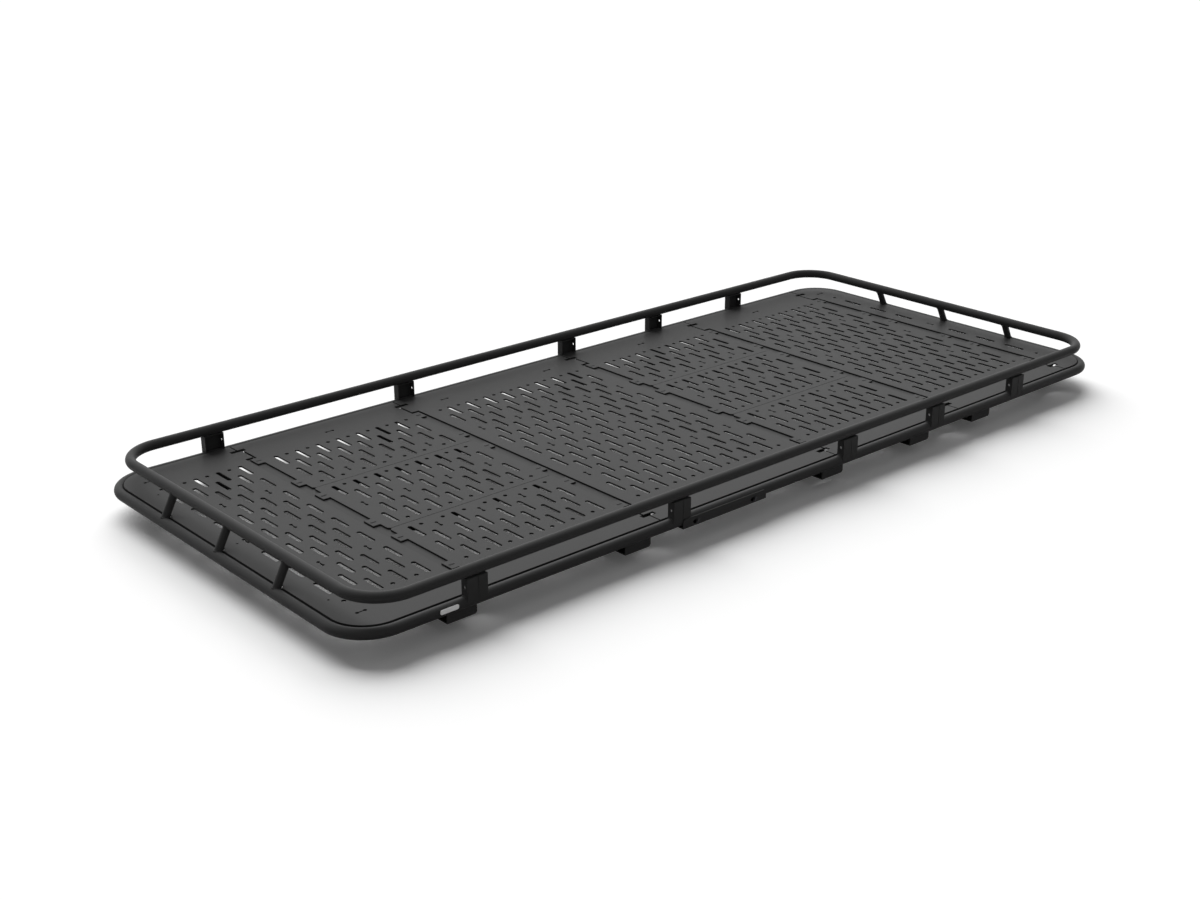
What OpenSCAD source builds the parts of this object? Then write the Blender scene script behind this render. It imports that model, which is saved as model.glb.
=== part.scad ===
// Open roof rack for a long vehicle: a round tube loop with a slotted steel deck inside it
// and a second tube loop above it as a rail, on folded posts and slanting end struts.
// Millimetres, +Z up. Origin: centre of the rack in plan, at the underside of its legs.
// +X is the end with the narrow end panel, -Y is the side that carries the small blank plate.

/* [Tube loops] */
// Length of the lower loop, measured between tube centres
loop_length = 3384; // [3200:4:3600]
// Width of the lower loop, measured between tube centres
loop_width = 1416; // [1400:4:1500]
// Outside diameter of both loops' tube
tube_od = 33.7; // [30:0.1:36]
// Radius of the corner bends, at the tube's centre
bend_radius = 130; // [110:5:180]
// Height of the rail's centre over the lower loop's centre
rail_rise = 90; // [80:1:140]
// How far the rail's ends stand back from the lower loop's ends
rail_inset = 48; // [20:1:80]
// Gap left at each weld seat, so that the pieces meet without sharing a face
weld_gap = 0.2; // [0.1:0.05:0.5]

/* [Deck] */
// Thickness of the deck plates
plate = 3; // [2:0.5:4]
// Deck's top over the lower tube's centre
deck_rise = 17.5; // [16.5:0.5:20]
// Distance from the tube's centre to the edge of the deck
deck_edge_gap = 15; // [15:0.5:20]
// Length of the lower loop, counted in slot pitches: the deck, posts and legs follow it
loop_pitches = 84.93; // [80:0.01:90]
// Distance between slot rows; every second row belongs to the same column
row_pitch = 68.5; // [67:0.5:69.5]
// Length of a slot
slot_length = 87; // [70:1:92]
// Width of a slot
slot_width = 15; // [10:0.5:18]
// Round hole that closes a column where no whole slot fits
end_hole_d = 14; // [8:1:16]
// Diameter of the two holes of a twin tie-down hole
twin_hole_d = 11; // [8:0.5:12]
// Distance between the two holes of a twin tie-down hole
twin_spacing = 25; // [20:1:28]
// Width of the slit that joins a twin hole
twin_slit = 4.5; // [3:0.5:7]

/* [Seams] */
// First seam from the middle of the rack, in slot pitches
first_seam = 31.44; // [31:0.01:31.75]
// Seam to the first slot column in the divided and plain bays, in slot pitches
seam_margin = 1.75; // [1.7:0.05:1.85]
// Seam to the first slot column in the middle bay, in slot pitches
middle_margin = 1.95; // [1.85:0.05:2.1]
// Depth of the trough between two panels, down to the cross bar
trough_depth = 5.5; // [5:0.5:9]
// Half the width of the trough
trough_half = 18; // [16:0.5:19]
// Half the length of the trough
trough_reach = 562; // [552:1:570]
// Width of each tab that crosses the trough
tab_width = 50; // [40:1:54]
// How far each tab reaches past the middle of the trough
tab_reach = 7; // [4:0.5:10]
// Slot between two panels, from the trough to the cross-shaped cut
end_slot = 7.5; // [5:0.5:9]
// Slot between two panels, from the cross-shaped cut to the deck's edge
edge_slot = 5; // [2:0.5:7]
// Distance from the middle line to the two seams of a divided bay
divide_y = 205.5; // [205:0.5:206]

/* [Bars under the deck] */
// Width of the box section bars under the seams
bar_width = 43; // [42:1:50]
// Depth of the bars across the rack
bar_depth = 24; // [18:1:25]
// Distance from the middle line to each end of the bars across the rack
bar_reach = 630; // [600:1:640]
// Width of the short bars along the divided bays
stringer_width = 30; // [26:1:34]
// Depth of the short bars along the divided bays
stringer_depth = 22; // [16:1:26]
// Wall of the bars and of the folded brackets
wall = 3; // [2:0.5:4]
// Width of the ledge that carries the deck's edge
ledge_width = 22; // [16:1:30]

/* [Posts and struts] */
// Width of a side post along the rack
post_width = 70; // [50:1:80]
// Depth of a side post across the rack
post_depth = 27; // [22:1:27]
// Hole through the leading flange of each post
post_hole_d = 9; // [6:0.5:12]
// Width and depth of the upright groove in each post
post_groove = 2; // [1:0.5:2]
// Diameter of the end struts
strut_d = 25.4; // [20:0.2:30]
// Distance between the end struts, across the rack
strut_spacing = 318; // [260:2:360]

/* [Legs and brackets] */
// Height of the lower tube's centre over the legs' underside
leg_drop = 80; // [70:1:120]
// Distance from the middle line to the legs' upright plates
leg_y = 583; // [565:1:600]
// Width of a leg along the rack
leg_width = 98; // [80:1:110]
// Thickness of a leg
leg_wall = 4; // [3:0.5:6]
// Depth of a leg's foot, turned outward
leg_foot = 25; // [24:1:40]
// Bolt holes in a leg's foot
leg_hole_d = 9; // [7:0.5:11]
// Distance between the two bolt holes of a leg
leg_hole_spacing = 60; // [50:1:66]
// Length of a bracket under the lower tube
bracket_length = 102; // [90:1:120]
// Height of a bracket under the tube
bracket_height = 27; // [20:1:36]
// Depth of a bracket across the rack
bracket_depth = 50; // [30:1:60]
// Rounding of each bracket's lower corner
bracket_corner = 10; // [4:1:14]
// Length of the plate on each long side
side_plate_length = 362; // [340:2:400]
// Height of the side plate
side_plate_height = 31; // [28:1:36]
// Distance between the side plate's bolts
side_plate_spacing = 251; // [230:1:270]
// Length of the side plate's two oblong holes
side_plate_slot_length = 28; // [22:1:40]
// Height of the side plate's two oblong holes
side_plate_slot_height = 14; // [10:0.5:16]
// Depth of the side plate's flange, turned in under the tube
side_plate_flange = 30; // [24:1:40]

/* [Hidden] */
$fn = 48;
tube_r = tube_od / 2;
axis_z = leg_drop;
rail_z = axis_z + rail_rise;
deck_z = axis_z + deck_rise;
plate_z = deck_z - plate;
bar_z = deck_z - trough_depth;
half_length = loop_length / 2;
half_width = loop_width / 2;
column_pitch = loop_length / loop_pitches;
deck_half_length = half_length - deck_edge_gap;
deck_half_width = half_width - deck_edge_gap;
deck_corner = bend_radius - deck_edge_gap;
straight_x = half_length - bend_radius;
straight_y = half_width - bend_radius;
rail_half_length = half_length - rail_inset;
rail_straight_x = rail_half_length - bend_radius;
cut = 1;

// Seams: tabs from the middle line, the side whose panel has them (1 for +X), the cross-shaped cuts
// and the corners of a divided bay's panels
tab_y = [-523.5, -275.5, -135.5, 135.5, 275.5, 523.5];
seam_side = [1, -1, 1, -1, -1];
cross_cut_y = deck_half_width - 52;
cross_cut_length = 54;
cross_cut_width = 18;
split_gap = 2;
corner_cut = 9;
row_top = 7;
row_split = 4;
row_middle = 2;

// Bay lengths: divided, middle, divided, plain
bay_columns = [14, 17, 14, 14];
bay_margin = [seam_margin, middle_margin, seam_margin, seam_margin];
function bay_length(i) = (bay_columns[i] - 1 + 2 * bay_margin[i]) * column_pitch;
first_seam_x = -first_seam * column_pitch;
seam_x = [first_seam_x,
    first_seam_x + bay_length(0),
    first_seam_x + bay_length(0) + bay_length(1),
    first_seam_x + bay_length(0) + bay_length(1) + bay_length(2),
    first_seam_x + bay_length(0) + bay_length(1) + bay_length(2) + bay_length(3)];
end_columns = 8;
end_margin = 1.6;
far_margin = 2;
end_first_x = first_seam_x - (end_margin + end_columns - 1) * column_pitch;
far_end_x = seam_x[4] + far_margin * column_pitch;
twin_row_y = deck_half_width - 96;
small_hole_d = 7;
small_hole_x = end_first_x - 0.7 * column_pitch;
small_hole_y = 482;

// Stations along the rack, in slot pitches from the middle
post_x = [-32.71, -13.35, 5.97, 17.6, 29.23] * column_pitch;
leg_x = [-33.88, -17.62, 4.17, 15.54, 24.3] * column_pitch;
side_plate_x = -8.78 * column_pitch;
strut_y = [-strut_spacing, 0, strut_spacing];
strut_lean = atan2(rail_inset, rail_rise);
strut_relief = 2;
side_plate_drop = 22;
side_plate_low = axis_z - side_plate_drop;
side_plate_slot_z = axis_z - 9.5;
side_plate_corner = 12;
plate_seat = 4;
post_out = tube_r;
groove_shift = 3;
post_top = rail_z - tube_r - weld_gap;
bracket_out = 5;
bracket_z = axis_z - tube_r - weld_gap - bracket_height;
bolt_d = 8;
bolt_head_d = 13;
bolt_head_height = 5;
bolt_flange = 1.5;
bolt_flange_d = 17;
bolt_shift = 5;
badge_length = 62;
badge_height = 14;
badge_thickness = 1.5;
badge_corner = 6;
badge_x = leg_x[0] - 50;
badge_rise = 5;

// Round bar along X, from one end to the other
module tube_x(length, y, z) {
    translate([-length / 2, y, z]) rotate([0, 90, 0]) cylinder(h = length, r = tube_r);
}

// Round bar along Y
module tube_y(length, x, z) {
    translate([x, length / 2, z]) rotate([90, 0, 0]) cylinder(h = length, r = tube_r);
}

// Four quarter bends that join two pairs of straight tubes
module bends(corner_x, corner_y, z) {
    for (q = [0:3]) {
        sx = (q == 0 || q == 3) ? 1 : -1;
        sy = q < 2 ? 1 : -1;
        translate([sx * corner_x, sy * corner_y, z]) rotate([0, 0, q * 90])
            rotate_extrude(angle = 90) translate([bend_radius, 0]) circle(r = tube_r);
    }
}

// Slot with round ends along Y, as an outline
module long_hole(length, width) {
    square([width, length - width], center = true);
    for (s = [-1, 1]) translate([0, s * (length - width) / 2]) circle(d = width);
}

// Twin tie-down hole, as an outline; it lies along X where turned is true
module twin_outline(turned) {
    rotate([0, 0, turned ? 90 : 0]) {
        square([twin_slit, twin_spacing], center = true);
        for (s = [-1, 1]) translate([0, s * twin_spacing / 2]) circle(d = twin_hole_d);
    }
}

// One field of slots: columns from x0, rows low to high, shift picks the columns of the even rows
// and twin_phase gives the first twin-hole column of row -4, 0 and 4
module slot_field(x0, columns, low, high, shift, twin_phase) {
    for (c = [0:columns - 1]) {
        x = x0 + c * column_pitch;
        for (k = [low:high]) if ((c + k + shift) % 2 == 0) translate([x, k * row_pitch]) {
            if (k % 4 == 0 && (c - twin_phase[k / 4 + 1]) % 4 == 0) twin_outline(false);
            else long_hole(slot_length, slot_width);
        }
        if ((c + high + shift) % 2 != 0) translate([x, (high + 0.5) * row_pitch]) circle(d = end_hole_d);
        if ((c + low + shift) % 2 != 0) translate([x, (low - 0.5) * row_pitch]) circle(d = end_hole_d);
    }
}

// Upright strip from one distance to another on both sides of the middle line, as an outline
module strip_pair(x0, x1, y0, y1) {
    for (s = [-1, 1]) translate([x0, s > 0 ? y0 : -y1]) square([x1 - x0, y1 - y0]);
}

// A seam whose tabs belong to the panel on its -X side is the mirror image of the other kind
module turned(side) {
    if (side > 0) children();
    else mirror([1, 0, 0]) children();
}

// Room that the panel with tabs leaves free at a seam: the whole trough but for its tabs
module tabbed_room() difference() {
    translate([-trough_half - cut, -half_width]) square([2 * trough_half + cut, loop_width]);
    for (y = tab_y) translate([-tab_reach, y - tab_width / 2])
        square([tab_reach + trough_half + cut, tab_width]);
    strip_pair(edge_slot / 2, trough_half + cut, cross_cut_y, half_width + cut);
}

// Room that the other panel leaves free: the trough, and a slot past each end of it
module plain_room() difference() {
    translate([-trough_half, -half_width]) square([2 * trough_half + cut, loop_width]);
    strip_pair(-trough_half - cut, trough_half - end_slot, trough_reach, cross_cut_y);
    strip_pair(-trough_half - cut, -edge_slot / 2, cross_cut_y, half_width + cut);
}

// Room at seam i for the panel on its +X side (side 1) or its -X side (side -1), with the cross-shaped
// cut at each end of the seam, over the neck of the trough
module seam_room(i, side) translate([seam_x[i], 0]) {
    turned(seam_side[i]) {
        if (side == seam_side[i]) tabbed_room();
        else plain_room();
    }
    for (s = [-1, 1]) translate([0, s * cross_cut_y])
        square([cross_cut_length, cross_cut_width], center = true);
}

// Folded edge of a panel beside a seam, standing on the cross bar; a panel with tabs has none at them
module folded_edge(i, side, low, high) translate([seam_x[i], 0, bar_z + weld_gap])
    linear_extrude(plate_z + plate / 2 - bar_z - weld_gap) difference() {
        translate([side > 0 ? trough_half : -trough_half - plate, low]) square([plate, high - low]);
        if (side == seam_side[i]) for (y = tab_y) translate([-2 * trough_half, y - tab_width / 2])
            square([4 * trough_half, tab_width]);
    }

// Deck outline with corners that follow the tube's bends and reliefs round the end struts
module deck_outline() difference() {
    union() {
        square([2 * deck_half_length, 2 * (deck_half_width - deck_corner)], center = true);
        square([2 * (deck_half_length - deck_corner), 2 * deck_half_width], center = true);
        for (sx = [-1, 1]) for (sy = [-1, 1])
            translate([sx * (deck_half_length - deck_corner), sy * (deck_half_width - deck_corner)])
                circle(r = deck_corner, $fn = 96);
    }
    for (sx = [-1, 1]) for (y = strut_y)
        translate([sx * (half_length - deck_rise * tan(strut_lean)), y])
            circle(d = strut_d / cos(strut_lean) + 2 * strut_relief);
}

// Panel of a bay, as a solid: plate with slots and twin holes, folded edges along its two seams
module bay_panel(i, y0, y1, low, high, shift, twin_phase, twin_columns) color("#3c3e40") {
    first_x = seam_x[i] + bay_margin[i] * column_pitch;
    x0 = seam_x[i] - trough_half;
    x1 = seam_x[i + 1] + trough_half;
    flange_low = max(y0 + corner_cut, -trough_reach);
    flange_high = min(y1 - corner_cut, trough_reach);
    union() {
        translate([0, 0, plate_z]) linear_extrude(plate) difference() {
            translate([x0, y0]) square([x1 - x0, y1 - y0]);
            seam_room(i, 1);
            seam_room(i + 1, -1);
            if (y1 - y0 < loop_width / 2) for (x = [seam_x[i] + trough_half, seam_x[i + 1] - trough_half])
                for (s = [-1, 1]) translate([x, s * divide_y]) rotate(45)
                    square(corner_cut * sqrt(2), center = true);
            slot_field(first_x, bay_columns[i], low, high, shift, twin_phase);
            for (c = twin_columns) for (s = [-1, 1]) translate([first_x + c * column_pitch, s * twin_row_y])
                twin_outline(true);
        }
        folded_edge(i, 1, flange_low, flange_high);
        folded_edge(i + 1, -1, flange_low, flange_high);
    }
}

module lower_tube_sides() color("#2f3032")
    for (s = [-1, 1]) tube_x(2 * straight_x - 2 * weld_gap, s * half_width, axis_z);
module lower_tube_ends() color("#2f3032")
    for (s = [-1, 1]) tube_y(2 * straight_y - 2 * weld_gap, s * half_length, axis_z);
module lower_tube_corners() color("#2f3032") bends(straight_x, straight_y, axis_z);
module rail_sides() color("#2f3032")
    for (s = [-1, 1]) tube_x(2 * rail_straight_x - 2 * weld_gap, s * half_width, rail_z);
module rail_ends() color("#2f3032")
    for (s = [-1, 1]) tube_y(2 * straight_y - 2 * weld_gap, s * rail_half_length, rail_z);
module rail_corners() color("#2f3032") bends(rail_straight_x, straight_y, rail_z);

module deck_end_panel() color("#3c3e40") union() {
    translate([0, 0, plate_z]) linear_extrude(plate) difference() {
        intersection() {
            deck_outline();
            translate([-half_length, -half_width])
                square([half_length + first_seam_x + trough_half, loop_width]);
        }
        seam_room(0, -1);
        slot_field(end_first_x, end_columns, -row_top, row_top, 0, [2, 0, 2]);
        for (s = [-1, 1]) translate([end_first_x, s * twin_row_y]) twin_outline(true);
        for (s = [-1, 0, 1]) translate([small_hole_x, s * small_hole_y]) circle(d = small_hole_d);
    }
    folded_edge(0, -1, -trough_reach, trough_reach);
}
module deck_bay1_far() bay_panel(0, divide_y + split_gap / 2, deck_half_width, row_split, row_top, 1,
    [0, 0, 3], [6.5]);
module deck_bay1_middle() bay_panel(0, -divide_y + split_gap / 2, divide_y - split_gap / 2,
    -row_middle, row_middle, 0, [0, 0, 0], []);
module deck_bay1_near() bay_panel(0, -deck_half_width, -divide_y - split_gap / 2, -row_top, -row_split, 0,
    [2, 0, 0], [6.5]);
module deck_middle_panel() bay_panel(1, -deck_half_width, deck_half_width, -row_top, row_top, 0,
    [0, 2, 0], [2, 14]);
module deck_bay3_far() bay_panel(2, divide_y + split_gap / 2, deck_half_width, row_split, row_top, 1,
    [0, 0, 3], [6.5]);
module deck_bay3_middle() bay_panel(2, -divide_y + split_gap / 2, divide_y - split_gap / 2,
    -row_middle, row_middle, 0, [0, 0, 0], []);
module deck_bay3_near() bay_panel(2, -deck_half_width, -divide_y - split_gap / 2, -row_top, -row_split, 0,
    [2, 0, 0], [6.5]);
module deck_plain_panel() bay_panel(3, -deck_half_width, deck_half_width, -row_top, row_top, 1,
    [3, 1, 3], [6.5]);
module deck_end_strip() color("#3c3e40") union() {
    translate([0, 0, plate_z]) linear_extrude(plate) difference() {
        intersection() {
            deck_outline();
            translate([seam_x[4] - trough_half, -half_width])
                square([half_length - seam_x[4] + trough_half, loop_width]);
        }
        seam_room(4, 1);
        slot_field(far_end_x, 1, -row_top, row_top, 0, [2, 0, 2]);
        for (s = [-1, 1]) translate([far_end_x, s * twin_row_y]) twin_outline(true);
    }
    folded_edge(4, 1, -trough_reach, trough_reach);
}

// Box section bar across the rack under each trough, open at its ends
module cross_bars() color("#2f3032") for (x = seam_x) translate([x, 0, 0]) difference() {
    translate([-bar_width / 2, -bar_reach, bar_z - bar_depth]) cube([bar_width, 2 * bar_reach, bar_depth]);
    translate([-bar_width / 2 + wall, -bar_reach - cut, bar_z - bar_depth + wall])
        cube([bar_width - 2 * wall, 2 * bar_reach + 2 * cut, bar_depth - 2 * wall]);
}

// Clear length between two bars, and where it starts
function clear_length(i) = bay_length(i) - bar_width - 2 * weld_gap;
function clear_start(i) = seam_x[i] + bar_width / 2 + weld_gap;

// Short bars along the two divided bays, under the seams between their three panels
module stringers() color("#2f3032") for (i = [0, 2]) for (s = [-1, 1])
    translate([clear_start(i), s * divide_y - stringer_width / 2, plate_z - weld_gap - stringer_depth])
        cube([clear_length(i), stringer_width, stringer_depth]);

// Flat ledges between the cross bars that carry the long edges of the deck
module side_ledges() color("#2f3032") for (s = [-1, 1]) for (i = [0:3])
    translate([clear_start(i), s > 0 ? deck_half_width - ledge_width : -deck_half_width,
        plate_z - weld_gap - wall])
        cube([clear_length(i), ledge_width, wall]);

// Side post: folded channel with its back outward, level with both tubes' outer faces
module post() difference() {
    union() {
        translate([-post_width / 2, post_out - wall, axis_z])
            cube([post_width, wall, post_top - axis_z]);
        for (x = [-post_width / 2, post_width / 2 - wall]) translate([x, post_out - post_depth, axis_z])
            cube([wall, post_depth, post_top - axis_z]);
        translate([-post_width / 2, post_out - post_depth, post_top - wall])
            cube([post_width, post_depth, wall]);
    }
    translate([-post_width, 0, axis_z]) rotate([0, 90, 0])
        cylinder(h = 2 * post_width, r = tube_r + weld_gap);
    translate([post_width / 2 - 2 * wall, post_out - post_depth / 2, axis_z + rail_rise / 2])
        rotate([0, 90, 0]) cylinder(h = 4 * wall, d = post_hole_d);
    translate([-groove_shift - post_groove / 2, post_out - post_groove / 2, axis_z - cut])
        cube([post_groove, post_groove, post_top - axis_z + 2 * cut]);
}

// Room for a side plate against the tube, with a gap round it
module side_plate_room() {
    translate([side_plate_x - side_plate_length / 2 - weld_gap, tube_r - plate_seat,
        side_plate_low - weld_gap])
        cube([side_plate_length + 2 * weld_gap, 2 * wall + plate_seat, side_plate_height + 2 * weld_gap]);
}

module posts_far() color("#2b2c2e") translate([0, half_width, 0]) difference() {
    for (x = post_x) translate([x, 0, 0]) post();
    side_plate_room();
}
module posts_near() color("#2b2c2e") translate([0, -half_width, 0]) difference() {
    for (x = post_x) translate([x, 0, 0]) rotate([0, 0, 180]) post();
    mirror([0, 1, 0]) side_plate_room();
}

// Slanting strut between the two end tubes, coped to both; built for the +X end
module strut(y) {
    reach = rail_rise / cos(strut_lean);
    difference() {
        translate([half_length, y, axis_z]) rotate([0, -strut_lean, 0]) cylinder(h = reach, d = strut_d);
        translate([half_length, y + strut_d, axis_z]) rotate([90, 0, 0])
            cylinder(h = 2 * strut_d, r = tube_r + weld_gap);
        translate([rail_half_length, y + strut_d, rail_z]) rotate([90, 0, 0])
            cylinder(h = 2 * strut_d, r = tube_r + weld_gap);
    }
}

module struts_right() color("#2b2c2e") for (y = strut_y) strut(y);
module struts_left() color("#2b2c2e") for (y = strut_y) mirror([1, 0, 0]) strut(y);

// Leg: folded plate with a seat under the deck, an upright and a narrow drilled foot turned outward
module leg() difference() {
    union() {
        translate([-leg_width / 2, leg_y, 0]) cube([leg_width, leg_wall, plate_z - weld_gap]);
        translate([-leg_width / 2, leg_y, 0]) cube([leg_width, leg_foot, leg_wall]);
        translate([-leg_width / 2, leg_y, plate_z - weld_gap - leg_wall])
            cube([leg_width, deck_half_width - ledge_width - weld_gap - leg_y, leg_wall]);
    }
    for (s = [-1, 1]) translate([s * leg_hole_spacing / 2, leg_y + (leg_wall + leg_foot) / 2, -cut])
        cylinder(h = leg_wall + 2 * cut, d = leg_hole_d);
}

// Five legs, notched where a cross bar passes
module leg_row() difference() {
    for (x = leg_x) translate([x, 0, 0]) leg();
    for (x = seam_x)
        translate([x - bar_width / 2 - cut, leg_y - cut, bar_z - bar_depth - cut])
        cube([bar_width + 2 * cut, half_width, 2 * bar_depth]);
}

module legs_far() color("#2b2c2e") leg_row();
module legs_near() color("#2b2c2e") mirror([0, 1, 0]) leg_row();

// Bracket: folded channel under the lower tube, open at its ends, with one rounded lower corner
module bracket() difference() {
    translate([-bracket_length / 2, bracket_out - bracket_depth, bracket_z])
        cube([bracket_length, bracket_depth, bracket_height]);
    translate([-bracket_length / 2 - cut, bracket_out - bracket_depth - cut, bracket_z + wall])
        cube([bracket_length + 2 * cut, bracket_depth - wall + cut, bracket_height - 2 * wall]);
    translate([bracket_length / 2 - bracket_corner, bracket_out + cut, bracket_z + bracket_corner])
        rotate([90, 0, 0]) linear_extrude(bracket_depth + 2 * cut) difference() {
            translate([0, -bracket_corner - cut]) square([bracket_corner + cut, bracket_corner + cut]);
            circle(r = bracket_corner);
        }
}

module tube_brackets_far() color("#2b2c2e") for (x = leg_x) translate([x, half_width, 0]) bracket();
module tube_brackets_near() color("#2b2c2e") for (x = leg_x) translate([x, -half_width, 0])
    mirror([0, 1, 0]) bracket();

// Flat outline with rounded corners, centred
module rounded_outline(length, height, corner) {
    square([length - 2 * corner, height], center = true);
    square([length, height - 2 * corner], center = true);
    for (sx = [-1, 1]) for (sy = [-1, 1])
        translate([sx * (length / 2 - corner), sy * (height / 2 - corner)]) circle(r = corner);
}

// Face of a side plate with rounded upper corners and two slots, as an outline above its lower edge
module side_plate_face() difference() {
    union() {
        translate([-side_plate_length / 2, 0])
            square([side_plate_length, side_plate_height - side_plate_corner]);
        translate([-side_plate_length / 2 + side_plate_corner, 0])
            square([side_plate_length - 2 * side_plate_corner, side_plate_height]);
        for (s = [-1, 1]) translate([s * (side_plate_length / 2 - side_plate_corner),
            side_plate_height - side_plate_corner]) circle(r = side_plate_corner);
    }
    for (s = [-1, 1]) translate([s * side_plate_spacing / 2, side_plate_slot_z - side_plate_low]) rotate(90)
        long_hole(side_plate_slot_length, side_plate_slot_height);
}

// Angle against the outer face of the lower tube, its flange turned in under the tube
module side_plate() translate([side_plate_x, tube_r + weld_gap + wall, side_plate_low]) union() {
    rotate([90, 0, 0]) linear_extrude(wall) side_plate_face();
    translate([-side_plate_length / 2, -side_plate_flange, 0])
        cube([side_plate_length, side_plate_flange, wall]);
}

module side_plate_far() color("#2b2c2e") translate([0, half_width, 0]) side_plate();
module side_plate_near() color("#2b2c2e") translate([0, -half_width, 0]) mirror([0, 1, 0]) side_plate();

// Bolts in the two side plates, each at the +X end of its slot: flange, hexagon head and shank
module side_plate_bolts() color("#1d1e20")
    for (side = [-1, 1]) for (s = [-1, 1])
        translate([side_plate_x + s * side_plate_spacing / 2 + bolt_shift,
            side * (half_width + tube_r + weld_gap + wall), side_plate_slot_z])
            rotate([-side * 90, 0, 0]) {
                translate([0, 0, weld_gap]) cylinder(h = bolt_flange, d = bolt_flange_d);
                translate([0, 0, weld_gap]) cylinder(h = bolt_head_height, d = bolt_head_d, $fn = 6);
                translate([0, 0, -wall]) cylinder(h = wall + weld_gap + cut, d = bolt_d);
            }

// Small plain plate on the outer face of the lower tube, beside the first near bracket
module blank_plate() color("#b9bbbd")
    translate([badge_x, -half_width - tube_r - weld_gap, axis_z + badge_rise])
        rotate([90, 0, 0]) linear_extrude(badge_thickness)
            rounded_outline(badge_length, badge_height, badge_corner);

lower_tube_sides();
lower_tube_ends();
lower_tube_corners();
rail_sides();
rail_ends();
rail_corners();
deck_end_panel();
deck_bay1_far();
deck_bay1_middle();
deck_bay1_near();
deck_middle_panel();
deck_bay3_far();
deck_bay3_middle();
deck_bay3_near();
deck_plain_panel();
deck_end_strip();
cross_bars();
stringers();
side_ledges();
posts_near();
posts_far();
struts_left();
struts_right();
legs_near();
legs_far();
tube_brackets_near();
tube_brackets_far();
side_plate_near();
side_plate_far();
side_plate_bolts();
blank_plate();
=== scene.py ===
"""Looks for a full-length vehicle roof rack: coated tube loops, slotted deck, posts, struts and legs."""
import logging
import math
from dataclasses import dataclass, field
from enum import Enum

import bpy
import numpy as np
from mathutils import Matrix, Vector


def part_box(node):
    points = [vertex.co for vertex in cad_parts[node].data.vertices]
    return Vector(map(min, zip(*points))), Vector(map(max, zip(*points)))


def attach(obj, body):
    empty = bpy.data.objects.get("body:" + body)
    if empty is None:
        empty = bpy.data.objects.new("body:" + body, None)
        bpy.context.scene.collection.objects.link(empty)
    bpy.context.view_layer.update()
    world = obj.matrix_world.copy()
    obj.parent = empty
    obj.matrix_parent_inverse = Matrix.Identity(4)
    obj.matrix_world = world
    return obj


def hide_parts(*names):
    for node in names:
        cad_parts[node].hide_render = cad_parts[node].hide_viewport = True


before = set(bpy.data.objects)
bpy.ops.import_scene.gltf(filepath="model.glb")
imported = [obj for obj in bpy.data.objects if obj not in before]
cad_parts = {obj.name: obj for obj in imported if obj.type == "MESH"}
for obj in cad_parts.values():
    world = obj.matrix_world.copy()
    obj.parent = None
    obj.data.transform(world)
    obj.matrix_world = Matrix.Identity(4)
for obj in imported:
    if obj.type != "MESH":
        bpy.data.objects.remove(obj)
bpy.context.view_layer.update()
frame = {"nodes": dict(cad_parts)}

LOG = logging.getLogger("roof_rack")
MM = 0.001
TINY = 1e-6
FULL_TURN = 2 * math.pi
WHITE = (1.0, 1.0, 1.0, 1.0)
BODY = "root"
LOWER_TUBE = ("lower_tube_sides", "lower_tube_ends", "lower_tube_corners")
RAIL_TUBE = ("rail_sides", "rail_ends", "rail_corners")
DECK_PREFIX = "deck_"
BEAD_POINTS = 8


# Small helpers: colour, nodes and meshes

def linear(code: str) -> tuple[float, float, float, float]:
    """Turns an sRGB hex colour into the linear colour that a shader socket takes.

    The numbers are the sRGB curve's own: c / 12.92 near black, and ((c + 0.055) / 1.055) ** 2.4 above that.

    Args:
        code: Six hex digits, with or without a leading hash.

    Returns:
        Red, green and blue as linear values, and an alpha of one.
    """
    srgb = np.array([int(code.lstrip("#")[i:i + 2], 16) for i in (0, 2, 4)]) / 255.0
    value = np.where(srgb <= 0.04045, srgb / 12.92, ((srgb + 0.055) / 1.055) ** 2.4)
    return float(value[0]), float(value[1]), float(value[2]), 1.0


def add(tree: bpy.types.NodeTree, kind: str, settings: dict | None = None,
        **links: object) -> bpy.types.Node:
    """Adds one shader node with its settings and its inputs.

    Args:
        tree: The node tree that gets the node.
        kind: Blender's class name of the node.
        settings: Node properties by name.
        **links: Inputs by name, with underscores for spaces, or by place, as i0 or i1; an output socket
            is linked and a value is set.

    Returns:
        The new node.
    """
    node = tree.nodes.new(kind)
    for name, value in (settings or {}).items():
        setattr(node, name, value)
    for name, value in links.items():
        key = int(name[1:]) if name[0] == "i" and name[1:].isdigit() else name.replace("_", " ")
        socket = node.inputs[key]
        if isinstance(value, bpy.types.NodeSocket):
            tree.links.new(value, socket)
        else:
            socket.default_value = value
    return node


def empty_material(name: str) -> bpy.types.Material:
    """Makes a material whose node tree is empty.

    Args:
        name: The material's name.

    Returns:
        The new material.
    """
    material = bpy.data.materials.new(name)
    material.use_nodes = True
    material.node_tree.nodes.clear()
    return material


def grid_faces(rows: int, columns: int, close_rows: bool, close_columns: bool) -> np.ndarray:
    """Gives the quads of a grid whose point (i, j) has the index i * columns + j.

    Args:
        rows: Points along the first parameter.
        columns: Points along the second parameter.
        close_rows: Joins the last row to the first.
        close_columns: Joins the last column to the first.

    Returns:
        One quad a row, as four point indices.
    """
    i = np.arange(rows if close_rows else rows - 1)[:, None]
    j = np.arange(columns if close_columns else columns - 1)[None, :]
    i2, j2 = (i + 1) % rows, (j + 1) % columns
    quads = np.stack([i * columns + j, i2 * columns + j, i2 * columns + j2, i * columns + j2], axis=-1)
    return quads.reshape(-1, 4)


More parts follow.
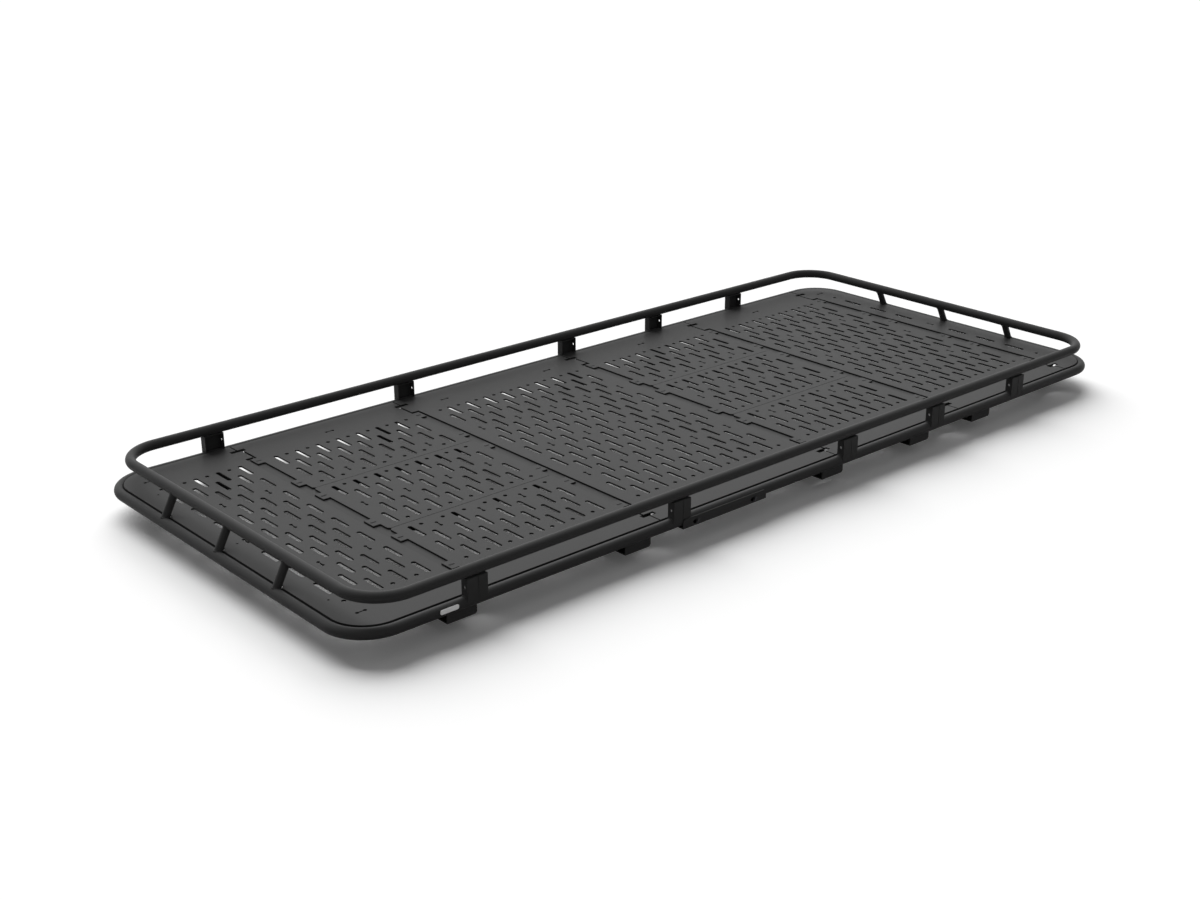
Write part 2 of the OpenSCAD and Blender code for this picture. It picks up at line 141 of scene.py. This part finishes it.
def mesh_piece(name: str, points: np.ndarray, faces: np.ndarray, smooth: bool = True) -> bpy.types.Object:
    """Makes an object at the origin from points in metres and faces of equal size.

    Args:
        name: Name of the piece.
        points: One point a row.
        faces: One face a row, as point indices.
        smooth: Shades the faces smooth.

    Returns:
        The new object, linked to the scene and riding on the rack.
    """
    mesh = bpy.data.meshes.new(name)
    corners = faces.shape[1]
    mesh.vertices.add(len(points))
    mesh.vertices.foreach_set("co", np.asarray(points, dtype=np.float32).ravel())
    mesh.loops.add(faces.size)
    mesh.loops.foreach_set("vertex_index", faces.astype(np.int32).ravel())
    mesh.polygons.add(len(faces))
    mesh.polygons.foreach_set("loop_start", np.arange(0, faces.size, corners, dtype=np.int32))
    mesh.polygons.foreach_set("use_smooth", np.full(len(faces), smooth))
    mesh.update(calc_edges=True)
    mesh.validate()
    piece = bpy.data.objects.new(name, mesh)
    bpy.context.scene.collection.objects.link(piece)
    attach(piece, BODY)
    return piece


def sweep(path: np.ndarray, lead: np.ndarray, radius: np.ndarray, closed: bool) -> np.ndarray:
    """Carries a circle along a path: p + r (cos v n + sin v b).

    There n is square to the path and to the lead, and b is square to the path and to n.

    Args:
        path: Points along the path, one a row.
        lead: A direction, or one for each point, that is never along the path.
        radius: Circle radius at each point.
        closed: Joins the last point to the first.

    Returns:
        Points of the grid, path first, one a row.
    """
    if closed:
        along = np.roll(path, -1, axis=0) - np.roll(path, 1, axis=0)
    else:
        along = np.gradient(path, axis=0)
    along /= np.linalg.norm(along, axis=1, keepdims=True)
    side = np.cross(along, np.broadcast_to(lead, path.shape))
    side /= np.linalg.norm(side, axis=1, keepdims=True)
    third = np.cross(along, side)
    turn = np.linspace(0.0, FULL_TURN, BEAD_POINTS, endpoint=False)
    ring = side[:, None, :] * np.cos(turn)[None, :, None] + third[:, None, :] * np.sin(turn)[None, :, None]
    return (path[:, None, :] + radius[:, None, None] * ring).reshape(-1, 3)


def merge(parts: list[tuple[np.ndarray, np.ndarray]]) -> tuple[np.ndarray, np.ndarray]:
    """Joins several meshes: each one's point indices move up by the number of points before it.

    Args:
        parts: Points and faces of each mesh, with as many corners to a face in all of them.

    Returns:
        Points and faces of the whole.
    """
    starts = np.cumsum([0] + [len(points) for points, _ in parts[:-1]])
    return (np.concatenate([points for points, _ in parts]),
            np.concatenate([faces + start for (_, faces), start in zip(parts, starts)]))


def dress(piece: bpy.types.Object, material: bpy.types.Material) -> None:
    """Gives every face of a piece one material.

    Args:
        piece: A CAD node or a new piece.
        material: The material that it gets.
    """
    if not piece.material_slots:
        piece.data.materials.append(material)
    for slot in piece.material_slots:
        slot.material = material


def groups_along(node: str, gap: float) -> list[np.ndarray]:
    """Sorts the X of a CAD node's points, and splits them where two neighbours are further apart than gap.

    Args:
        node: Name of the node.
        gap: The widest step inside a group, in metres.

    Returns:
        The sorted X of each group, from -X to +X.
    """
    mesh = frame["nodes"][node].data
    points = np.empty(len(mesh.vertices) * 3, dtype=np.float32)
    mesh.vertices.foreach_get("co", points)
    x = np.sort(points[::3])
    return np.split(x, np.nonzero(np.diff(x) > gap)[0] + 1)


def deck_panels() -> list[bpy.types.Object]:
    """Gives the deck's plates, which are the CAD nodes whose names start with the deck's prefix."""
    return [piece for name, piece in frame["nodes"].items() if name.startswith(DECK_PREFIX)]


# Finishes

class Slot(Enum):
    """The record's four material slots, and a near-black coat that only the looks have: painted shade on
    what lies under the deck.
    """

    FRAME = "frame_coat"
    PAINTED_SHADE = "painted_shade_coat"
    DECK = "deck_coat"
    BOLT = "bolt_steel"
    PLATE = "pale_plate"


@dataclass(frozen=True)
class PowderCoat:
    """Polyester powder coat baked on blasted steel: a matt skin with a fine pebbled texture.

    It spreads light, so that a tube has a dim broad highlight and a plate has none. The pebbles of the real
    skin are under a millimetre; grain_mm draws them as coarse as they need to show. The gloss is the
    specular level: 0.5 is usual for such a coat, and the values here are matched to the photograph instead,
    whose coat has hardly any sheen.
    """

    name: str
    colour: str
    worn_colour: str
    roughness: float
    grain_mm: float
    cloud_mm: float
    bump: float
    gloss: float
    ior: float = 1.5
    roughness_swing: float = 0.04
    cloud_span: tuple[float, float] = (0.35, 0.65)
    pebble_height: float = 0.4 * MM

    def material(self) -> bpy.types.Material:
        """Builds the coat: two colours clouded together, roughness that follows, and a pebbled bump.

        Returns:
            The material, on Object coordinates.
        """
        material = empty_material(self.name)
        tree = material.node_tree
        place = add(tree, "ShaderNodeTexCoord").outputs["Object"]
        clouds = add(tree, "ShaderNodeTexNoise", Vector=place, Scale=1.0 / (self.cloud_mm * MM),
                     Detail=3.0, Roughness=0.6).outputs["Fac"]
        pebbles = add(tree, "ShaderNodeTexNoise", Vector=place, Scale=1.0 / (self.grain_mm * MM),
                      Detail=2.0, Roughness=0.5).outputs["Fac"]
        spread = add(tree, "ShaderNodeMapRange", Value=clouds, From_Min=self.cloud_span[0],
                     From_Max=self.cloud_span[1]).outputs["Result"]
        # A Mix node's colours are its inputs 6 and 7 and its output 2
        colour = add(tree, "ShaderNodeMix", {"data_type": "RGBA"}, i0=spread,
                     i6=linear(self.colour), i7=linear(self.worn_colour)).outputs[2]
        rough = add(tree, "ShaderNodeMapRange", Value=spread, To_Min=self.roughness - self.roughness_swing,
                    To_Max=self.roughness + self.roughness_swing).outputs["Result"]
        bump = add(tree, "ShaderNodeBump", Height=pebbles, Strength=self.bump,
                   Distance=self.pebble_height).outputs["Normal"]
        shader = add(tree, "ShaderNodeBsdfPrincipled", Base_Color=colour, Roughness=rough, Normal=bump,
                     IOR=self.ior, Specular_IOR_Level=self.gloss)
        add(tree, "ShaderNodeOutputMaterial", Surface=shader.outputs["BSDF"])
        return material


@dataclass(frozen=True)
class SatinMetal:
    """Plain metal with a satin skin, which breaks a reflection into a soft patch of light.

    It is the black oxide of the bolts and the bare aluminium of the small plate.
    """

    name: str
    colour: str
    metallic: float
    roughness: float
    grain_mm: float
    roughness_swing: float = 0.08
    bump: float = 0.15
    grain_height: float = 0.1 * MM

    def material(self) -> bpy.types.Material:
        """Builds the metal: one colour, roughness broken by a fine grain, and a faint bump.

        Returns:
            The material, on Object coordinates.
        """
        material = empty_material(self.name)
        tree = material.node_tree
        place = add(tree, "ShaderNodeTexCoord").outputs["Object"]
        grain = add(tree, "ShaderNodeTexNoise", Vector=place, Scale=1.0 / (self.grain_mm * MM),
                    Detail=2.0).outputs["Fac"]
        rough = add(tree, "ShaderNodeMapRange", Value=grain, To_Min=self.roughness - self.roughness_swing,
                    To_Max=self.roughness + self.roughness_swing).outputs["Result"]
        bump = add(tree, "ShaderNodeBump", Height=grain, Strength=self.bump,
                   Distance=self.grain_height).outputs["Normal"]
        shader = add(tree, "ShaderNodeBsdfPrincipled", Base_Color=linear(self.colour), Roughness=rough,
                     Normal=bump, Metallic=self.metallic)
        add(tree, "ShaderNodeOutputMaterial", Surface=shader.outputs["BSDF"])
        return material


@dataclass
class Finishes:
    """The rack's finishes, built once. Colours and gloss are matched to the photograph in this light."""

    # Tubes and fittings: an even dark grey, with a soft dim highlight along each tube
    frame: PowderCoat = PowderCoat("powder_coat_frame", colour="#474747", worn_colour="#4a4a4a",
                                   roughness=0.5, grain_mm=2.2, cloud_mm=160.0, bump=0.3, gloss=0.06)
    # Short bars, ledges, the plates' lips and the strip in the deck's edge gap: nearly black, painted shade
    # for the dark under the deck, so that the slots look deep
    painted_shade_coat: PowderCoat = PowderCoat("black_painted_shade", colour="#1c1c1c", worn_colour="#1f1f1f",
                                       roughness=0.6, grain_mm=2.2, cloud_mm=160.0, bump=0.2, gloss=0.02)
    # Deck plates: a flat grey without sheen, a little lighter than the frame
    deck: PowderCoat = PowderCoat("powder_coat_deck", colour="#4d4d4d", worn_colour="#505050",
                                  roughness=0.45, grain_mm=2.2, cloud_mm=240.0, bump=0.3, gloss=0.03)
    # Bolts and heads: blackened steel, dark with a faint metal sheen
    bolt: SatinMetal = SatinMetal("black_oxide_bolt", colour="#2a2a2b", metallic=0.7, roughness=0.45,
                                  grain_mm=1.0)
    # Small plate: pale bare metal, bright and not mirrored
    plate: SatinMetal = SatinMetal("satin_aluminium_plate", colour="#c8c8c8", metallic=0.6, roughness=0.4,
                                   grain_mm=1.0)
    built: dict[Slot, bpy.types.Material] = field(default_factory=dict)

    def get(self, slot: Slot) -> bpy.types.Material:
        """Gives the material of a slot, building it the first time.

        Args:
            slot: One of the slots.

        Returns:
            The slot's material.
        """
        if slot not in self.built:
            maker = {Slot.FRAME: self.frame, Slot.PAINTED_SHADE: self.painted_shade_coat, Slot.DECK: self.deck,
                     Slot.BOLT: self.bolt, Slot.PLATE: self.plate}[slot]
            self.built[slot] = maker.material()
        return self.built[slot]


# The rack

@dataclass
class TubeLoop:
    """One closed loop of round tube with four bends, swept as a single surface."""

    name: str
    nodes: tuple[str, str, str]
    bend_radius: float = 130 * MM
    bend_points: int = 31
    ring_points: int = 40

    def sizes(self) -> tuple[float, float, float, float]:
        """Reads the loop's sizes from its solids.

        Returns:
            Half length and half width between tube centres, height of the axis, and tube radius.
        """
        side_low, side_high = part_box(self.nodes[0])
        end_low, end_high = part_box(self.nodes[1])
        radius = (side_high[2] - side_low[2]) / 2
        return end_high[0] - radius, side_high[1] - radius, (side_low[2] + side_high[2]) / 2, radius

    def path(self, half_length: float, half_width: float) -> tuple[np.ndarray, np.ndarray]:
        """Gives points and headings round the loop, anticlockwise from the +X end.

        A bend is its corner's centre + bend radius (cos u, sin u), with u over ninety degrees. The
        straights between the bends have no points of their own.

        Args:
            half_length: Half the loop's length between tube centres, in metres.
            half_width: Half the loop's width between tube centres, in metres.

        Returns:
            Points in plan, and the angle of the outward normal at each.
        """
        bend = self.bend_radius
        angles = np.radians(np.linspace(0.0, 90.0, self.bend_points))
        points, normals = [], []
        for quarter, (sx, sy) in enumerate(((1, 1), (-1, 1), (-1, -1), (1, -1))):
            turn = angles + quarter * math.pi / 2
            centre = np.array([sx * (half_length - bend), sy * (half_width - bend)])
            points.append(centre + bend * np.stack([np.cos(turn), np.sin(turn)], axis=-1))
            normals.append(turn)
        return np.concatenate(points), np.concatenate(normals)

    def carry(self, out: np.ndarray, height: np.ndarray) -> tuple[np.ndarray, np.ndarray]:
        """Carries a closed section round the loop: plan point + out (cos h, sin h), with h the heading.

        Args:
            out: How far outside the loop's path each point of the section lies, in metres.
            height: The height of each point of the section.

        Returns:
            Points and quads of one closed surface.
        """
        half_length, half_width, _, _ = self.sizes()
        plan, heading = self.path(half_length, half_width)
        x = plan[:, :1] + np.cos(heading)[:, None] * out[None, :]
        y = plan[:, 1:] + np.sin(heading)[:, None] * out[None, :]
        points = np.stack([x, y, np.broadcast_to(height, x.shape)], axis=-1).reshape(-1, 3)
        return points, grid_faces(len(plan), len(out), True, True)

    def build(self, finishes: Finishes) -> bpy.types.Object:
        """Sweeps a circle round the path, r cos v outward and r sin v upward, and dresses it.

        Args:
            finishes: The rack's finishes.

        Returns:
            The loop as one closed surface that stands for its three solids.
        """
        _, _, axis, radius = self.sizes()
        ring = np.linspace(0.0, FULL_TURN, self.ring_points, endpoint=False)
        piece = mesh_piece(self.name, *self.carry(radius * np.cos(ring), axis + radius * np.sin(ring)))
        dress(piece, finishes.get(Slot.FRAME))
        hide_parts(*self.nodes)
        return piece


@dataclass
class Deck:
    """The ten deck panels, which keep the solids' shape."""

    def build(self, finishes: Finishes) -> int:
        """Dresses every panel.

        Args:
            finishes: The rack's finishes.

        Returns:
            The number of panels.
        """
        panels = deck_panels()
        for panel in panels:
            dress(panel, finishes.get(Slot.DECK))
        return len(panels)


@dataclass
class PlateLips:
    """Turned-down lips under the edges of the deck plates and their slots, painted nearly black as painted
    shade, so that they show as dark lines.

    Their depth is given, not measured. A face counts as upright where its normal's z is less than steep.
    """

    plate: float = 3 * MM
    depth: float = 2.5 * MM
    slack: float = 0.1 * MM
    steep: float = 0.3

    def lips(self, panel: bpy.types.Object) -> tuple[np.ndarray, np.ndarray]:
        """Carries a plate's upright walls on downward: z becomes under - (top - z) * depth / plate.

        Args:
            panel: A deck plate; walls that reach below its plate, such as folded edges, are left out.

        Returns:
            Points, and triangles as point indices.
        """
        mesh = panel.data
        mesh.calc_loop_triangles()
        count = len(mesh.loop_triangles)
        corners = np.empty(count * 3, dtype=np.int32)
        normals = np.empty(count * 3, dtype=np.float32)
        places = np.empty(len(mesh.vertices) * 3, dtype=np.float32)
        mesh.loop_triangles.foreach_get("vertices", corners)
        mesh.loop_triangles.foreach_get("normal", normals)
        mesh.vertices.foreach_get("co", places)
        walls = places.reshape(-1, 3)[corners.reshape(-1, 3)]
        top = float(places[2::3].max())
        under = top - self.plate
        upright = np.abs(normals.reshape(-1, 3)[:, 2]) < self.steep
        walls = walls[upright & (walls[:, :, 2].min(axis=1) > under - self.slack)]
        walls[:, :, 2] = under - (top - walls[:, :, 2]) * self.depth / self.plate
        return walls.reshape(-1, 3), np.arange(walls.shape[0] * 3).reshape(-1, 3)

    def build(self, finishes: Finishes) -> bpy.types.Object:
        """Joins the lips of all plates and gives them the near-black painted shade.

        Args:
            finishes: The rack's finishes.

        Returns:
            The lips as one piece.
        """
        lips = merge([self.lips(panel) for panel in deck_panels()])
        piece = mesh_piece("plate_lips_painted_shade", *lips, smooth=False)
        dress(piece, finishes.get(Slot.PAINTED_SHADE))
        return piece


@dataclass
class EdgeShadeStrip:
    """Near-black strip in the narrow gap between deck and lower tube, all the way round: painted shade that
    stands for the dark inside the gap.
    """

    drop: float = 4 * MM
    depth: float = 4 * MM
    overlap: float = 1.5 * MM

    def build(self, finishes: Finishes) -> bpy.types.Object:
        """Carries a flat oblong section round, between the tube's inner side and the deck's rim.

        At the strip's top the tube's side lies sqrt(radius**2 - (top - axis)**2) inside the tube's axis.

        Args:
            finishes: The rack's finishes.

        Returns:
            The strip as one closed surface.
        """
        # The painted shade strip follows the lower tube's loop
        loop = TubeLoop("shade_strip_loop", LOWER_TUBE)
        _, half_width, axis, radius = loop.sizes()
        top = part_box("deck_middle_panel")[1][2] - self.drop
        reach = math.sqrt(max(radius ** 2 - (top - axis) ** 2, 0.0)) - self.overlap
        rim = half_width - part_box("deck_middle_panel")[1][1] + self.overlap
        out = np.array([-reach, -rim, -rim, -reach])
        height = np.array([top, top, top - self.depth, top - self.depth])
        piece = mesh_piece("edge_shade_strip", *loop.carry(out, height), smooth=False)
        dress(piece, finishes.get(Slot.PAINTED_SHADE))
        return piece


@dataclass
class TabFasteners:
    """Oblong low heads that hold each tab of a seam down to the cross bar.

    A head is a stack of outlines: the shares in shrink and rise give each one's half width and height.
    """

    length: float = 20 * MM
    width: float = 8 * MM
    height: float = 1.2 * MM
    inset: float = 10 * MM
    bar_gap: float = 100 * MM
    outline_points: int = 24
    shrink: tuple[float, ...] = (1.0, 1.0, 0.9, 0.75, 0.5, 0.02)
    rise: tuple[float, ...] = (0.0, 0.6, 0.9, 0.97, 1.0, 1.0)
    rows: tuple[float, ...] = (-523.5 * MM, -275.5 * MM, -135.5 * MM,
                               135.5 * MM, 275.5 * MM, 523.5 * MM)
    sides: tuple[int, ...] = (1, -1, 1, -1, -1)

    def bar_centres(self) -> np.ndarray:
        """Gives the X of each cross bar's middle, from -X to +X."""
        return np.array([(bar[0] + bar[-1]) / 2 for bar in groups_along("cross_bars", self.bar_gap)])

    def head(self, centre: np.ndarray) -> tuple[np.ndarray, np.ndarray]:
        """Builds one head: an outline with round ends, which shrinks to its centre line as z rises.

        A point is half straight (sign of cos v) + s r cos v along the head and s r sin v across it, with s
        the outline's share of the half width r.

        Args:
            centre: The head's place on the deck.

        Returns:
            Points and quads.
        """
        turn = np.linspace(0.0, FULL_TURN, self.outline_points, endpoint=False)
        shrink = np.array(self.shrink)
        rise = np.array(self.rise) * self.height
        ends = np.where(np.abs(np.cos(turn)) > TINY, np.sign(np.cos(turn)), 0.0)
        straight = (self.length - self.width) / 2 * ends
        x = centre[0] + straight[None, :] + self.width / 2 * shrink[:, None] * np.cos(turn)[None, :]
        y = centre[1] + self.width / 2 * shrink[:, None] * np.sin(turn)[None, :]
        z = np.broadcast_to((centre[2] + rise)[:, None], x.shape)
        return np.stack([x, y, z], axis=-1).reshape(-1, 3), grid_faces(len(shrink), len(turn), False, True)

    def build(self, finishes: Finishes) -> bpy.types.Object:
        """Puts a head on every tab: six a seam, on the side that the tabs come from.

        Args:
            finishes: The rack's finishes.

        Returns:
            The heads as one piece.
        """
        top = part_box("deck_middle_panel")[1][2]
        heads = [self.head(np.array([x + side * self.inset, y, top]))
                 for x, side in zip(self.bar_centres(), self.sides) for y in self.rows]
        piece = mesh_piece("tab_fasteners", *merge(heads))
        dress(piece, finishes.get(Slot.BOLT))
        return piece


@dataclass
class Welds:
    """Rippled weld beads round the ends of the struts, and up the posts where they sit on the tube."""

    bead: float = 2.4 * MM
    ripple: float = 2.5 * MM
    ripple_share: float = 0.12
    taper_power: int = 12
    taper_least: float = 0.0004
    tube_radius: float = 16.85 * MM
    strut_radius: float = 12.7 * MM
    strut_spacing: float = 318 * MM
    strut_points: int = 72
    rail_inset: float = 48 * MM
    rail_rise: float = 90 * MM
    post_gap: float = 150 * MM
    arc_degrees: tuple[float, float] = (14.0, 124.0)
    arc_points: int = 40
    arc_lift: float = 0.3 * MM

    def thickness(self, path: np.ndarray, closed: bool) -> np.ndarray:
        """Gives the bead's radius along a path of length l: bead (1 + share cos(2 pi s / ripple)) at s.

        An open bead also tapers at both ends, by sqrt(1 - (2 s / l - 1) ** power).

        Args:
            path: Points along the bead.
            closed: Says that the bead closes on itself.

        Returns:
            The radius at each point.
        """
        step = np.linalg.norm(np.diff(path, axis=0), axis=1)
        run = np.concatenate([[0.0], np.cumsum(step)])
        size = self.bead * (1.0 + self.ripple_share * np.cos(FULL_TURN * run / self.ripple))
        if closed:
            return size
        taper = 1.0 - (2 * run / run[-1] - 1.0) ** self.taper_power
        return size * np.sqrt(np.clip(taper, self.taper_least, 1.0))

    def strut_ring(self, end: int, y: float, upper: bool, axis_x: float, axis_z: float) -> np.ndarray:
        """Gives the curve where a strut meets a tube: sqrt(R**2 - (r cos v)**2) along the strut's lean.

        Args:
            end: 1 for the +X end, -1 for the other.
            y: The strut's place across the rack.
            upper: Takes the rail's tube and not the lower one.
            axis_x: Half the length of the lower loop.
            axis_z: Height of the lower tube's axis.

        Returns:
            Points round the strut.
        """
        lean = math.atan2(self.rail_inset, self.rail_rise)
        turn = np.linspace(0.0, FULL_TURN, self.strut_points, endpoint=False)
        flat = self.strut_radius * np.cos(turn)
        run = np.sqrt(self.tube_radius ** 2 - flat ** 2)
        if upper:
            run = math.hypot(self.rail_inset, self.rail_rise) - run
        x = axis_x + flat * math.cos(lean) - run * math.sin(lean)
        z = axis_z + flat * math.sin(lean) + run * math.cos(lean)
        return np.stack([end * x, y + self.strut_radius * np.sin(turn), z], axis=-1)

    def post_arcs(self, node: str, side: int, axis_y: float, axis_z: float) -> list[np.ndarray]:
        """Gives an arc of the tube beside each flange of a row of posts: axis + R (cos v, sin v) in Y, Z.

        It runs from the tube's outer face to over its top.

        Args:
            node: The posts' node; each post's least and greatest X are its flanges' outer faces.
            side: 1 for the far row, -1 for the near one.
            axis_y: Half the width of the lower loop.
            axis_z: Height of the lower tube's axis.

        Returns:
            One curve for each flange.
        """
        turn = np.radians(np.linspace(*self.arc_degrees, self.arc_points))
        reach = self.tube_radius + self.arc_lift
        return [np.stack([np.full(turn.size, edge), side * (axis_y + reach * np.cos(turn)),
                          axis_z + reach * np.sin(turn)], axis=-1)
                for group in groups_along(node, self.post_gap) for edge in (group[0], group[-1])]

    def build(self, finishes: Finishes) -> bpy.types.Object:
        """Lays every bead and coats it like the tubes.

        Args:
            finishes: The rack's finishes.

        Returns:
            The beads as one piece.
        """
        low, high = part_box("lower_tube_ends")
        axis_x, axis_z = high[0] - self.tube_radius, (low[2] + high[2]) / 2
        axis_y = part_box("lower_tube_sides")[1][1] - self.tube_radius
        parts = []
        for end in (-1, 1):
            lead = np.array([end * self.rail_inset, 0.0, -self.rail_rise])
            for y in (-self.strut_spacing, 0.0, self.strut_spacing):
                for upper in (False, True):
                    ring = self.strut_ring(end, y, upper, axis_x, axis_z)
                    parts.append((sweep(ring, lead, self.thickness(ring, True), True),
                                  grid_faces(len(ring), BEAD_POINTS, True, True)))
        for node, side in (("posts_near", -1), ("posts_far", 1)):
            for arc in self.post_arcs(node, side, axis_y, axis_z):
                parts.append((sweep(arc, np.array([1.0, 0.0, 0.0]), self.thickness(arc, False), False),
                              grid_faces(len(arc), BEAD_POINTS, False, True)))
        piece = mesh_piece("weld_beads", *merge(parts))
        dress(piece, finishes.get(Slot.FRAME))
        return piece


@dataclass
class Fittings:
    """Bars, posts, struts, legs, brackets, side plates and their bolts, which keep the solids' shape."""

    coated: tuple[str, ...] = ("cross_bars", "posts_near", "posts_far", "struts_left", "struts_right",
                               "legs_near", "legs_far", "tube_brackets_near", "tube_brackets_far",
                               "side_plate_near", "side_plate_far")
    # Pieces under the deck get the near-black painted shade
    shade_painted_pieces: tuple[str, ...] = ("stringers", "side_ledges")
    bolts: tuple[str, ...] = ("side_plate_bolts",)
    plates: tuple[str, ...] = ("blank_plate",)

    def build(self, finishes: Finishes) -> int:
        """Dresses the coated pieces, the pieces under the deck in the near-black painted shade, the bolts
        and the small plain plate.

        Args:
            finishes: The rack's finishes.

        Returns:
            The number of pieces.
        """
        groups = ((self.coated, Slot.FRAME), (self.shade_painted_pieces, Slot.PAINTED_SHADE),
                  (self.bolts, Slot.BOLT), (self.plates, Slot.PLATE))
        for names, slot in groups:
            for name in names:
                dress(frame["nodes"][name], finishes.get(slot))
        return sum(len(names) for names, _ in groups)


# The studio

@dataclass
class Studio:
    """White floor, one wide soft light from behind and above, and the camera at the photograph's viewpoint.

    The light's direction and width are rounded from a fit to the rack's shadow in the photograph. The
    floor's glow is given, not fitted.
    """

    camera_place: tuple[float, float, float] = (-3.6857, -3.9152, 2.0875)
    azimuth: float = -41.515
    elevation: float = 21.588
    roll: float = -0.1217
    focal_px: float = 1633.74
    image_width: int = 1200
    sensor: float = 36.0
    view_reach: float = 200.0
    floor_size: float = 60.0
    floor_seen: str = "#ffffff"
    floor_bounce: str = "#6e6e6e"
    floor_glow: float = 0.05
    key_from: tuple[float, float, float] = (0.5, 1.1, 1.0)
    key_angle: float = 64.0
    key_level: float = 0.86
    fill: float = 0.14
    background: float = 1.0

    def camera(self) -> None:
        """Places the camera: its back axis points from the target to the camera, and its roll is small."""
        data = bpy.data.cameras.new("camera")
        data.sensor_fit = "HORIZONTAL"
        data.sensor_width = self.sensor
        data.lens = self.focal_px * self.sensor / self.image_width
        data.clip_end = self.view_reach
        camera = bpy.data.objects.new("camera", data)
        az, el, roll = (math.radians(v) for v in (self.azimuth, self.elevation, self.roll))
        forward = np.array([-math.sin(az) * math.cos(el), math.cos(az) * math.cos(el), -math.sin(el)])
        right = np.cross(forward, [0.0, 0.0, 1.0])
        right /= np.linalg.norm(right)
        up = np.cross(right, forward)
        side = math.cos(roll) * right + math.sin(roll) * up
        top = -math.sin(roll) * right + math.cos(roll) * up
        turn = np.eye(4)
        turn[:3, 0], turn[:3, 1], turn[:3, 2], turn[:3, 3] = side, top, -forward, self.camera_place
        camera.matrix_world = Matrix(turn.tolist())
        bpy.context.scene.collection.objects.link(camera)
        bpy.context.scene.camera = camera

    def floor(self) -> None:
        """Lays the floor: matt paper that looks white where no shadow falls, and throws little light up."""
        half = self.floor_size / 2
        corners = [(-half, -half, 0), (half, -half, 0), (half, half, 0), (-half, half, 0)]
        mesh = bpy.data.meshes.new("floor")
        mesh.from_pydata(corners, [], [(0, 1, 2, 3)])
        floor = bpy.data.objects.new("floor", mesh)
        bpy.context.scene.collection.objects.link(floor)
        material = empty_material("white_paper_floor")
        tree = material.node_tree
        paper = add(tree, "ShaderNodeBsdfDiffuse", Color=linear(self.floor_seen))
        glow = add(tree, "ShaderNodeEmission", Color=WHITE, Strength=self.floor_glow)
        white = add(tree, "ShaderNodeAddShader", i0=paper.outputs[0], i1=glow.outputs[0])
        grey = add(tree, "ShaderNodeBsdfDiffuse", Color=linear(self.floor_bounce))
        mix = add(tree, "ShaderNodeMixShader", Fac=self.seen_directly(tree), i1=grey.outputs[0],
                  i2=white.outputs[0])
        add(tree, "ShaderNodeOutputMaterial", Surface=mix.outputs[0])
        dress(floor, material)

    @staticmethod
    def seen_directly(tree: bpy.types.NodeTree) -> bpy.types.NodeSocket:
        """Tells the rays that see a surface from the light that surfaces throw on.

        Args:
            tree: The node tree that gets the nodes.

        Returns:
            A socket that is one for camera, glossy and transmission rays and nought for all others.
        """
        path = add(tree, "ShaderNodeLightPath").outputs
        either = add(tree, "ShaderNodeMath", {"operation": "MAXIMUM"}, i0=path["Is Camera Ray"],
                     i1=path["Is Glossy Ray"]).outputs[0]
        return add(tree, "ShaderNodeMath", {"operation": "MAXIMUM"}, i0=either,
                   i1=path["Is Transmission Ray"]).outputs[0]

    def light(self) -> None:
        """Sets one wide soft light behind the rack, and a dim world that shows white behind the floor.

        The lamp's energy is pi level / z, so that a level surface takes key_level of the light that shows
        its colour as written. The world's fill gives the rest.
        """
        toward = Vector(self.key_from).normalized()
        data = bpy.data.lights.new("key", "SUN")
        data.angle = math.radians(self.key_angle)
        data.energy = math.pi * self.key_level / toward.z
        key = bpy.data.objects.new("key", data)
        key.rotation_euler = toward.to_track_quat("Z", "Y").to_euler()
        key.visible_glossy = False
        bpy.context.scene.collection.objects.link(key)
        world = bpy.data.worlds.new("studio")
        bpy.context.scene.world = world
        world.use_nodes = True
        tree = world.node_tree
        tree.nodes.clear()
        fill = add(tree, "ShaderNodeBackground", Color=WHITE, Strength=self.fill)
        white = add(tree, "ShaderNodeBackground", Color=WHITE, Strength=self.background)
        mix = add(tree, "ShaderNodeMixShader", Fac=self.seen_directly(tree), i1=fill.outputs[0],
                  i2=white.outputs[0])
        add(tree, "ShaderNodeOutputWorld", Surface=mix.outputs[0])

    def build(self) -> None:
        """Sets the view, the camera, the floor and the light."""
        bpy.context.scene.view_settings.view_transform = "Standard"
        self.camera()
        self.floor()
        self.light()


def main() -> None:
    """Builds the studio and the rack in order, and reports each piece."""
    logging.basicConfig(level=logging.INFO, format="%(message)s")
    finishes = Finishes()
    Studio().build()
    for loop in (TubeLoop("lower_loop", LOWER_TUBE), TubeLoop("rail_loop", RAIL_TUBE)):
        LOG.info("%s: %d faces", loop.name, len(loop.build(finishes).data.polygons))
    LOG.info("deck: %d panels dressed", Deck().build(finishes))
    LOG.info("plate lips: %d faces", len(PlateLips().build(finishes).data.polygons))
    # The strip in the deck's edge gap is painted shade
    LOG.info("edge seal: %d faces", len(EdgeShadeStrip().build(finishes).data.polygons))
    LOG.info("fittings: %d pieces dressed", Fittings().build(finishes))
    LOG.info("tab fasteners: %d faces", len(TabFasteners().build(finishes).data.polygons))
    LOG.info("weld beads: %d faces", len(Welds().build(finishes).data.polygons))


if __name__ == "__main__":
    main()
